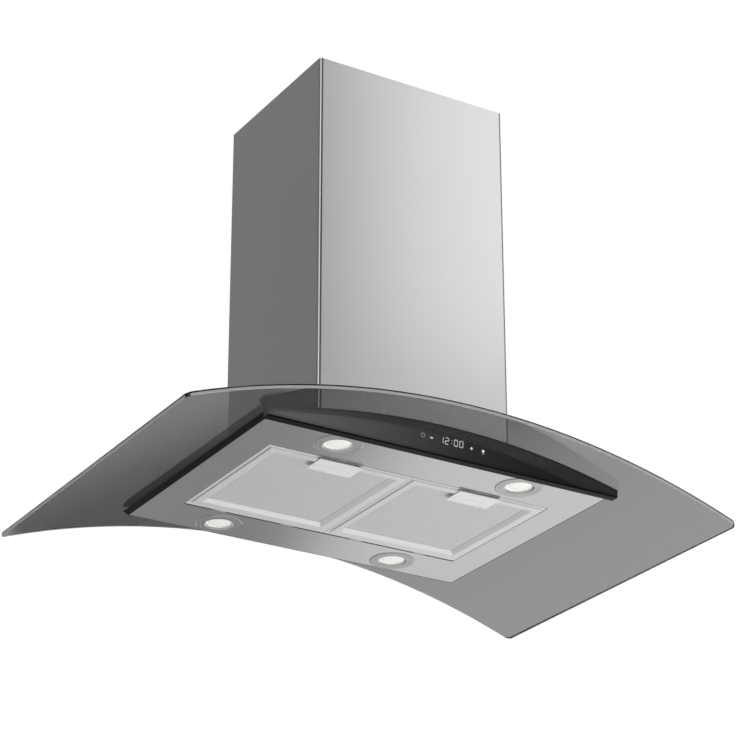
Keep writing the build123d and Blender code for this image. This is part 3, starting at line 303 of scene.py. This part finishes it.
def mesh_sheet(side):
    """Expanded aluminium sheet: height is the product of two diagonal cosine waves over the plan.

    Each wave is 8 mm long in x and 4 mm in y, so the diamonds between their zero lines are 4 by 2 mm, about
    the real mesh's size. They stand rise either way, gap below the mesh pack. The sheet fills the frame's
    window and faces down."""
    long, short, rise, gap, step = 8.0, 4.0, 0.2, 0.05, 1.0
    x, y = np.meshgrid(np.arange(-WINDOW_WIDTH / 2, WINDOW_WIDTH / 2, step),
                       np.arange(-WINDOW_DEPTH / 2, WINDOW_DEPTH / 2, step))
    wave = np.cos(2 * pi * (x / long + y / short)) * np.cos(2 * pi * (x / long - y / short))
    points = np.stack([x + side * MESH_X, y + WINDOW_Y, MESH_LEVEL - gap - rise + rise * wave], -1)
    return points, [face[::-1] for face in grid_faces(*x.shape)]


def diffuser(x, y):
    """Lamp diffuser: a shallow dome turned about the lamp's axis, with two ring steps near its rim.

    The profile gives height at each radius, in millimetres; the angle runs round it. A point closes the dome
    in front and another the flat back, each with a fan of triangles."""
    around, gap = 64, 0.05
    thickness = LENS_TOP - LENS_LEVEL - gap
    dome = [(4, 0.05), (8, 0.2), (12, 0.45), (15.5, 0.75)]
    ring_steps = [(16, 1.05), (16.8, 1.05), (17.3, 0.8), (19.2, 0.9), (19.7, 0.4), (20.1, 0.05)]
    rim_and_back = [(LENS_RADIUS, 0.05), (LENS_RADIUS, thickness), (12, thickness)]
    radius, height = np.array(dome + ring_steps + rim_and_back).T
    turn = np.linspace(0, 2 * pi, around, endpoint=False)
    rings = np.stack([x + np.outer(radius, np.cos(turn)), y + np.outer(radius, np.sin(turn)),
                      np.repeat(LENS_LEVEL + height[:, None], around, 1)], -1).reshape(-1, 3)
    poles = [(x, y, LENS_LEVEL), (x, y, LENS_LEVEL + thickness)]
    front_pole, back_pole, last_ring = len(rings), len(rings) + 1, len(rings) - around
    here = np.arange(around)
    after = (here + 1) % around
    faces = grid_faces(len(radius), around, wrap=True)
    faces += np.stack([after, here, np.full(around, front_pole)], -1).tolist()
    faces += np.stack([last_ring + here, last_ring + after, np.full(around, back_pole)], -1).tolist()
    return np.concatenate([rings, poles]), faces


for side, name in ((-1, "left"), (1, "right")):
    piece(f"mesh_sheet_{name}", *mesh_sheet(side), "filter_mesh", "filter_mesh", f"filter_{name}")
corners = (("front_left", -1, -1), ("front_right", 1, -1), ("rear_left", -1, 1), ("rear_right", 1, 1))
for corner, x, y in corners:
    lens = piece(f"diffuser_{corner}", *diffuser(x * LAMP_X, y * LAMP_Y), "lamp_lens", "lamp_lens", "hood")
    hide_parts(f"lamp_lens_{corner}")


def on_panel(u, v, lift):
    """Points on the leaning fascia: u to the right, v up its face and lift out of it, in millimetres."""
    return np.stack([u, PANEL_FRONT - v * sin(PANEL_LEAN) - lift * cos(PANEL_LEAN),
                     PANEL_FOOT + v * cos(PANEL_LEAN) - lift * sin(PANEL_LEAN)], -1)


def marks(outlines, low=-0.02, high=0.06):
    """Printed marks: each outline (anticlockwise in u, v) raised from low to high above the fascia."""
    points, faces, first = [], [], 0
    for outline in outlines:
        count = len(outline)
        points += [on_panel(*np.asarray(outline, float).T, np.full(count, lift)) for lift in (low, high)]
        foot = first + np.arange(count)
        top = foot + count
        faces += np.stack([foot, np.roll(foot, -1), np.roll(top, -1), top], -1).tolist()
        faces += [top.tolist(), foot[::-1].tolist()]
        first += 2 * count
    return np.concatenate(points), faces


def bar(x0, y0, x1, y1, width):
    """Outline of a straight stroke with pointed ends, from one point to another."""
    start, end = np.array([x0, y0], float), np.array([x1, y1], float)
    along = (end - start) / np.linalg.norm(end - start) * width / 2
    across = np.array([-along[1], along[0]])
    return np.array([start, start + along - across, end - along - across,
                     end, end - along + across, start + along + across])


def arc(x, y, radius, first, last, width, steps=24):
    """Outlines of a ring stroke: short four-cornered pieces between two angles in degrees."""
    a = np.radians(np.linspace(first, last, steps + 1))
    inner, outer = (np.stack([x + r * np.cos(a), y + r * np.sin(a)], -1)
                    for r in (radius - width / 2, radius + width / 2))
    return [np.array([inner[i], outer[i], outer[i + 1], inner[i + 1]]) for i in range(steps)]


def digit(x, y, segments):
    """Strokes of a seven-segment figure 5.4 mm wide and 9 mm high, by the segments' letters."""
    w, h, stroke = 5.4, 9.0, 1.3
    ends = {"a": (0, h, w, h), "b": (w, h, w, h / 2), "c": (w, h / 2, w, 0), "d": (0, 0, w, 0),
            "e": (0, h / 2, 0, 0), "f": (0, h, 0, h / 2), "g": (0, h / 2, w, h / 2)}
    return [bar(x + a, y + b, x + c, y + d, stroke) for a, b, c, d in (ends[s] for s in segments)]


# Places of the marks on the fascia, in millimetres: u from its middle, v up from its foot
MARK_FOOT = 17.0
POWER_U, POWER_V = -45.0, MARK_FOOT + 5.0
MINUS_U, MINUS_V = -30.6, MARK_FOOT + 4.0
PLUS_U, LAMP_SIGN_U, SIGN_V = 35.9, 55.6, MARK_FOOT + 2.2

clock = ((-17, "bc"), (-8, "abged"), (7, "abcdef"), (16, "abcdef"))
figures = [stroke for u, segments in clock for stroke in digit(u, MARK_FOOT, segments)]
figures += [bar(2.2, MARK_FOOT + dot, 3.6, MARK_FOOT + dot, 1.4) for dot in (2.5, 6.5)]
power = arc(POWER_U, POWER_V, 3.2, -240, 60, 0.8) + [bar(POWER_U, POWER_V, POWER_U, POWER_V + 4.4, 0.8)]
symbols = [
    bar(MINUS_U - 2.6, MINUS_V, MINUS_U + 2.6, MINUS_V, 1.8),
    bar(PLUS_U - 2.5, SIGN_V, PLUS_U + 2.5, SIGN_V, 1.6),
    bar(PLUS_U, SIGN_V - 2.5, PLUS_U, SIGN_V + 2.5, 1.6),
    *arc(LAMP_SIGN_U, SIGN_V, 1.1, 0, 360, 2.2),
    bar(LAMP_SIGN_U - 1.2, SIGN_V - 4.0, LAMP_SIGN_U + 1.2, SIGN_V - 4.0, 0.8),
]
for name, outlines, surface in (("display_figures", figures, "figures"),
                                ("power_symbol", power, "dim_symbols"),
                                ("step_and_lamp_symbols", symbols, "symbols")):
    lit = piece(name, *marks(outlines), surface, "display", "hood", smooth=False)
    # Marks shine forward, through the fascia, so the canopy above shows no image of them
    lit.visible_glossy = False


# Studio, in metres: pale floor, white surroundings, soft lamps, and cards that only steel and glass show

X, Y, Z = (1, 0, 0), (0, 1, 0), (0, 0, 1)
BRIGHTEST, FEATHER = 2.5, 1.2
FLOOR_LEVEL, FLOOR_REACH = -6.5, 15.0


def card(name, centre, side, half, stops, axis=None, rays="glossy"):
    """An upright studio card that one kind of ray sees.

    It is given by its middle, the direction of its level side, and half its width and height. Its glow runs
    along axis, by default the level side, by stops: pairs of place and brightness, which stays under
    BRIGHTEST because a smooth ramp holds no colour above 1. Past its sides the card fades out."""
    across, up = FEATHER * half[0] * np.array(side), FEATHER * half[1] * np.array(Z)
    corners = np.array(centre) + [-across - up, across - up, across + up, up - across]
    mesh = bpy.data.meshes.new(name)
    mesh.from_pydata(corners.tolist(), [], [(0, 1, 2, 3)])
    mesh.uv_layers.new(name="sides").data.foreach_set("uv", [-1, -1, 1, -1, 1, 1, -1, 1])
    paper = bpy.data.materials.new(name + "_paper")
    tree = emptied(paper)
    place = add(tree, "TexCoord")
    along = add(tree, "VectorMath", {0: place.outputs["Object"], 1: axis or side}, operation="DOT_PRODUCT")
    first, last = stops[0][0], stops[-1][0]
    share = add(tree, "MapRange", {"Value": along.outputs["Value"], "From Min": first, "From Max": last})
    ramp = add(tree, "ValToRGB", {"Fac": share.outputs[0]})
    ramp.color_ramp.interpolation = "B_SPLINE"
    while len(ramp.color_ramp.elements) < len(stops):
        ramp.color_ramp.elements.new(1.0)
    for mark, (spot, bright) in zip(ramp.color_ramp.elements, stops):
        mark.position = (spot - first) / (last - first)
        mark.color = (bright / BRIGHTEST, bright / BRIGHTEST, bright / BRIGHTEST, 1.0)
    glow = add(tree, "Emission", {"Color": ramp.outputs[0], "Strength": BRIGHTEST})
    reach = add(tree, "VectorMath", {0: place.outputs["UV"]}, operation="ABSOLUTE")
    sides = add(tree, "SeparateXYZ", {0: reach.outputs[0]})
    outer = add(tree, "Math", {0: sides.outputs[0], 1: sides.outputs[1]}, operation="MAXIMUM")
    fade = add(tree, "MapRange", {"Value": outer.outputs[0], "From Min": 1 / FEATHER},
               interpolation_type="SMOOTHSTEP")
    clear = add(tree, "BsdfTransparent")
    both = add(tree, "MixShader", {0: fade.outputs[0], 1: glow.outputs[0], 2: clear.outputs[0]})
    add(tree, "OutputMaterial", {"Surface": both.outputs[0]})
    mesh.materials.append(paper)
    made = into_scene(name, mesh)
    for kind in ("camera", "diffuse", "glossy", "transmission", "shadow"):
        setattr(made, "visible_" + kind, kind == rays)


def even(bright):
    """Stops of a card that glows evenly."""
    return [(0, bright), (1, bright)]


# Grey to white across the chimney's front, dimmer at its foot
front = [(0.4, 0.36), (0.53, 0.47), (0.6, 0.74), (0.68, 0.93),
         (0.75, 1.03), (0.9, 1.14), (1.1, 1.22), (1.5, 1.22)]
FOOT_SHARE = 0.6
card("front_card", (0.95, -1.3, 0.6), X, (0.55, 0.38), front)
card("front_foot_card", (0.95, -1.31, 0.02), X, (0.55, 0.17), [(x, FOOT_SHARE * b) for x, b in front])
# Glare on the left half of the control panel
card("panel_card", (0.82, -1.32, -0.46), X, (0.58, 0.3), [(0.1, 2.3), (0.3, 2.3), (0.68, 0.06), (1.4, 0.0)])
# Dark flags that the chimney and the glass mirror
card("camera_flag", (-0.28, -2.5, 0.9), X, (1.22, 1.2), even(0.02))
card("left_flag", (-1.6, 2.6, 1.2), Y, (3.07, 2.4), [(-0.47, 0.08), (-0.2, 0.1), (0.1, 0.2), (5.67, 0.2)])
card("right_flag", (1.7, 0.85, 0.6), Y, (2.15, 1.0), even(0.2))
card("wing_card", (0.7, 1.31, -0.72), X, (0.5, 0.24), even(0.02))
# Dark to bright across the bottom plate
card("plate_card", (0.8, 1.3, -1.66), X, (1.2, 0.62),
     [(-1.9, 0.29), (-0.5, 0.29), (-0.26, 0.27), (-0.17, 0.25), (-0.12, 0.48),
      (-0.05, 0.72), (0.06, 0.76), (0.25, 0.74), (0.4, 0.74), (1.3, 0.7)], axis=(1, 0, 0.66))
# A dark band seen through the left wing, with a pale sky on both sides of it
card("sky_card", (0.8, 1.5, 0.18), X, (1.8, 0.53),
     [(-1.7, 0.76), (-0.9, 0.74), (-0.6, 0.72), (-0.4, 0.45), (-0.3, 0.18),
      (-0.22, 0.06), (-0.16, 0.18), (-0.1, 0.44), (0.0, 0.68), (1.1, 1.0)],
     axis=(-0.53, 0, 0.85), rays="transmission")

floor_mesh = bpy.data.meshes.new("floor")
floor_corners = np.array([(-1, -1, 0), (1, -1, 0), (1, 1, 0), (-1, 1, 0)]) * FLOOR_REACH + (0, 0, FLOOR_LEVEL)
floor_mesh.from_pydata(floor_corners.tolist(), [], [(0, 1, 2, 3)])
floor_mesh.materials.append(finish("pale_floor", Base_Color=linear("#ececec"), Roughness=0.9)[0])
floor = into_scene("floor", floor_mesh)

world = bpy.data.worlds.new("studio")
bpy.context.scene.world = world
tree = emptied(world)
path = add(tree, "LightPath")
mirrored = add(tree, "Math", {0: path.outputs["Is Glossy Ray"], 1: path.outputs["Is Transmission Ray"]},
               operation="MAXIMUM")
seen = add(tree, "Math", {0: path.outputs["Is Camera Ray"], 1: mirrored.outputs[0]}, operation="MAXIMUM")
soft = add(tree, "Background", {"Color": linear("#ffffff"), "Strength": 0.55})
white = add(tree, "Background", {"Color": linear("#ffffff"), "Strength": 1.0})
sky = add(tree, "MixShader", {0: seen.outputs[0], 1: soft.outputs[0], 2: white.outputs[0]})
add(tree, "OutputWorld", {"Surface": sky.outputs[0]})


def soft_box(name, place, target, size, power):
    """A square area lamp at place, turned towards target, that lights mat surfaces and isn't itself seen."""
    lamp = bpy.data.lights.new(name, "AREA")
    lamp.size, lamp.energy = size, power
    made = into_scene(name, lamp)
    made.location = place
    made.rotation_euler = (Vector(target) - Vector(place)).to_track_quat("-Z", "Y").to_euler()
    made.visible_camera = made.visible_glossy = made.visible_transmission = False


soft_box("key", (2.2, -2.4, 1.2), (0, 0, -0.4), 1.6, 50)
soft_box("fill", (-2.4, -2.2, 0.4), (0, 0, -0.5), 1.6, 20)
soft_box("underlight", (0.9, -0.6, -2.6), (0, 0, -0.6), 1.8, 40)

# The camera looks up at the hood from its left, turned and raised by angles in degrees
CAMERA_TURN, CAMERA_RISE = 31.06, 24.71
camera = into_scene("camera", bpy.data.cameras.new("camera"))
camera.location = (-1.8422, -3.0631, -2.0667)
camera.rotation_euler = (radians(90 + CAMERA_RISE), 0, -radians(CAMERA_TURN))
camera.data.lens = 128.06
camera.data.sensor_width = 36.0
bpy.context.scene.camera = camera
bpy.context.scene.view_settings.view_transform = "Standard"
